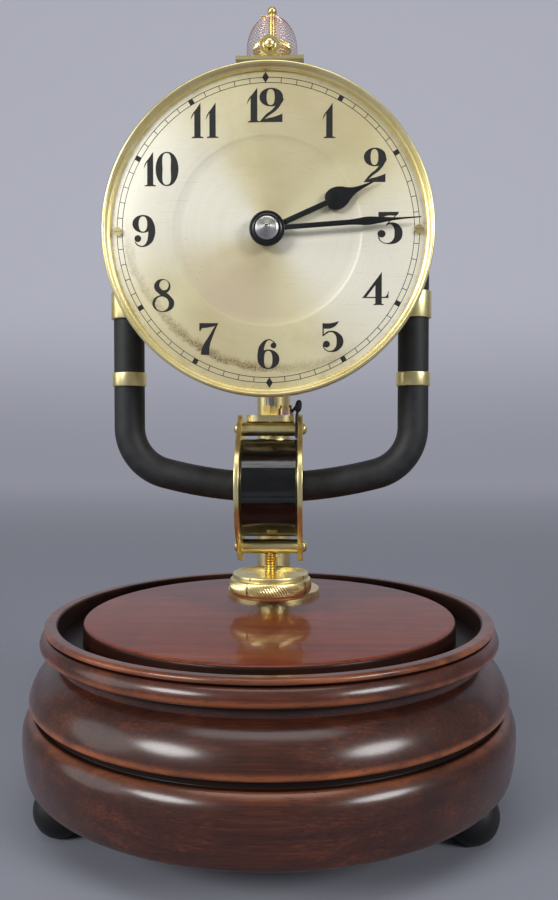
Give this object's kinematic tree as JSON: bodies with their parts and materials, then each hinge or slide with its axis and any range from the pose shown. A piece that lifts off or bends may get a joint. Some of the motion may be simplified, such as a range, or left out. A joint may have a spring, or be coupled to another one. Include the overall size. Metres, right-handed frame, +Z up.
{
  "type": "battery pendulum clock",
  "caption": "Table clock on a turned wooden base: round dial and hands over a small movement, a bent magnet bar, and a pendulum whose bob is a hollow coil.",
  "frame": {"origin": "on the table under the middle of the round base", "axes": "+Z up, the dial faces -Y, +X to the right as seen from the front"},
  "size_m": [0.1768, 0.1768, 0.2977],
  "materials": {
    "mahogany": "polished dark red-brown",
    "black_wood": "black, semi-gloss",
    "board": "plain",
    "cell_jacket": "plain jacket",
    "black_iron": "satin black",
    "blued_steel": "black",
    "steel": "polished",
    "copper": "bare copper",
    "silvered_dial": "silvered, satin",
    "black_wrap": "glossy black wrap",
    "black_fibre": "dull",
    "lead_cover": "covered wire",
    "pale_brass": "lacquered",
    "brass": "satin"
  },
  "bodies": {
    "stand": {"arm_collars": "pale_brass", "arm_rings": "pale_brass", "back_plate": "brass", "backstop_click": "steel", "base_body": "mahogany", "base_panel": "mahogany", "base_rim": "mahogany", "battery_cell": "cell_jacket", "battery_contacts": "brass", "battery_leads": "lead_cover", "bezel": "pale_brass", "bottom_cover": "board", "bridge_screw": "brass", "column": "pale_brass", "column_clamp": "brass", "column_foot": "pale_brass", "column_nut": "brass", "copper_beehive": "copper", "cover_screws": "steel", "dial": "silvered_dial", "dial_screws": "pale_brass", "feet": "black_wood", "frame_plate": "brass", "frame_screws": "brass", "front_plate": "brass", "lead_post": "brass", "magnet_bar": "black_iron", "movement_pillars": "brass", "post_bush": "black_fibre", "suspension_bridge": "pale_brass", "suspension_screw": "pale_brass", "suspension_yoke": "pale_brass", "upper_arms": "black_iron", "upper_chop": "pale_brass"},
    "pendulum": {"suspension_spring": "steel", "pendulum_rod": "steel", "coil_bracket": "pale_brass", "rod_nut": "brass", "terminal_screw": "brass", "terminal_washers": "copper", "coil_lead": "lead_cover", "coil_cheeks": "pale_brass", "cross_pillars": "pale_brass", "cheek_screws": "pale_brass", "bobbin_tube": "black_fibre", "coil_winding": "black_wrap", "threaded_rod": "brass"},
    "rating_nut": {"rating_nut": "pale_brass"},
    "minute_work": {"centre_wheel": "brass", "cannon_pinion": "brass", "minute_hand": "blued_steel", "hand_collet": "blued_steel", "hand_nut": "steel"},
    "hour_work": {"hour_wheel": "brass", "hour_hand": "blued_steel"},
    "motion_wheel": {"motion_wheel": "brass"},
    "intermediate_wheel": {"intermediate_wheel": "brass"},
    "ratchet_wheel": {"ratchet_wheel": "brass"},
    "fork_lever": {"fork_lever": "brass"},
    "thumb_nut": {"thumb_nut": "pale_brass"}
  },
  "joints": [
    {"name": "pendulum_swing", "type": "hinge", "parent": "stand", "child": "pendulum", "pos_m": [0, 0.0052, 0.267], "axis": [0, 1, 0], "range_deg": [-6, 6]},
    {"name": "rating_turn", "type": "hinge", "parent": "pendulum", "child": "rating_nut", "pos_m": [0, 0.0052, 0.075], "axis": [0, 0, 1], "range_deg": [-360, 360]},
    {"name": "minute_turn", "type": "hinge", "parent": "stand", "child": "minute_work", "pos_m": [0, 0, 0.2021], "axis": [0, 1, 0], "continuous": true},
    {"name": "hour_turn", "type": "hinge", "parent": "stand", "child": "hour_work", "pos_m": [0, 0, 0.2021], "axis": [0, 1, 0], "continuous": true},
    {"name": "motion_turn", "type": "hinge", "parent": "stand", "child": "motion_wheel", "pos_m": [0.01039, 0, 0.1961], "axis": [0, 1, 0], "continuous": true},
    {"name": "intermediate_turn", "type": "hinge", "parent": "stand", "child": "intermediate_wheel", "pos_m": [-0.0154, 0, 0.2021], "axis": [0, 1, 0], "continuous": true},
    {"name": "ratchet_turn", "type": "hinge", "parent": "stand", "child": "ratchet_wheel", "pos_m": [-0.01357, 0, 0.21669], "axis": [0, 1, 0], "continuous": true},
    {"name": "fork_rock", "type": "hinge", "parent": "stand", "child": "fork_lever", "pos_m": [0, 0, 0.22725], "axis": [0, 1, 0], "range_deg": [-14, 14]},
    {"name": "thumb_nut_turn", "type": "hinge", "parent": "stand", "child": "thumb_nut", "pos_m": [0, 0.0205, 0.281], "axis": [0, 0, 1], "range_deg": [-180, 180]}
  ],
  "couplings": [
    {"joint": "hour_turn", "follows": "minute_turn", "ratio": 0.083333},
    {"joint": "motion_turn", "follows": "minute_turn", "ratio": -0.33333},
    {"joint": "intermediate_turn", "follows": "minute_turn", "ratio": -6.3333},
    {"joint": "ratchet_turn", "follows": "minute_turn", "ratio": 38},
    {"joint": "fork_rock", "follows": "pendulum_swing", "ratio": 2.25}
  ]
}
